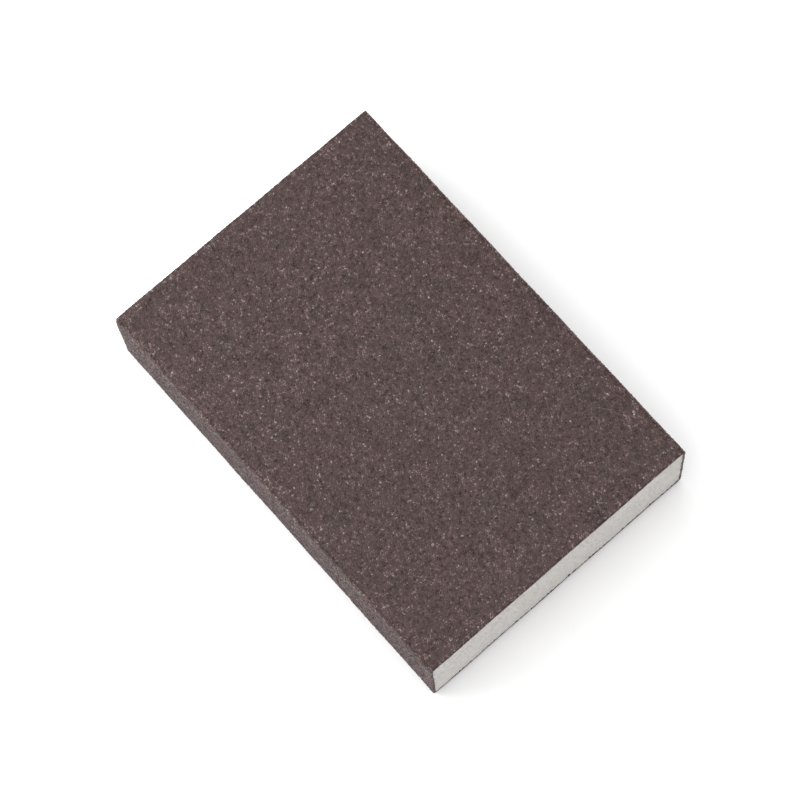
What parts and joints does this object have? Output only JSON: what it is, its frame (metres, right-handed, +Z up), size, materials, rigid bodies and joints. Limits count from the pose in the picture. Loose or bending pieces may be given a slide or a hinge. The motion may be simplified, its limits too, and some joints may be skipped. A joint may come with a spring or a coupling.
{
  "type": "nail buffer block",
  "caption": "Rectangular hand-held nail buffer: a springy off-white foam bar, coated with dark brown-grey abrasive grain on its long faces, with bare foam ends.",
  "frame": {"origin": "middle of the bottom face, on the surface that the block rests on", "axes": "+X along the length, towards one raw foam end; +Y across the width, towards the back coating; +Z up, out of the top working face"},
  "size_m": [0.1, 0.07, 0.025],
  "materials": {
    "foam": "matte",
    "make_coat": "matte",
    "abrasive_grain": "matte",
    "size_coat": "satin"
  },
  "bodies": {
    "root": {"foam_core": "foam", "top_make_coat": "make_coat", "top_abrasive_grain": "abrasive_grain", "top_size_coat": "size_coat", "bottom_make_coat": "make_coat", "bottom_abrasive_grain": "abrasive_grain", "bottom_size_coat": "size_coat", "front_make_coat": "make_coat", "front_abrasive_grain": "abrasive_grain", "front_size_coat": "size_coat", "back_make_coat": "make_coat", "back_abrasive_grain": "abrasive_grain", "back_size_coat": "size_coat"}
  },
  "joints": []
}
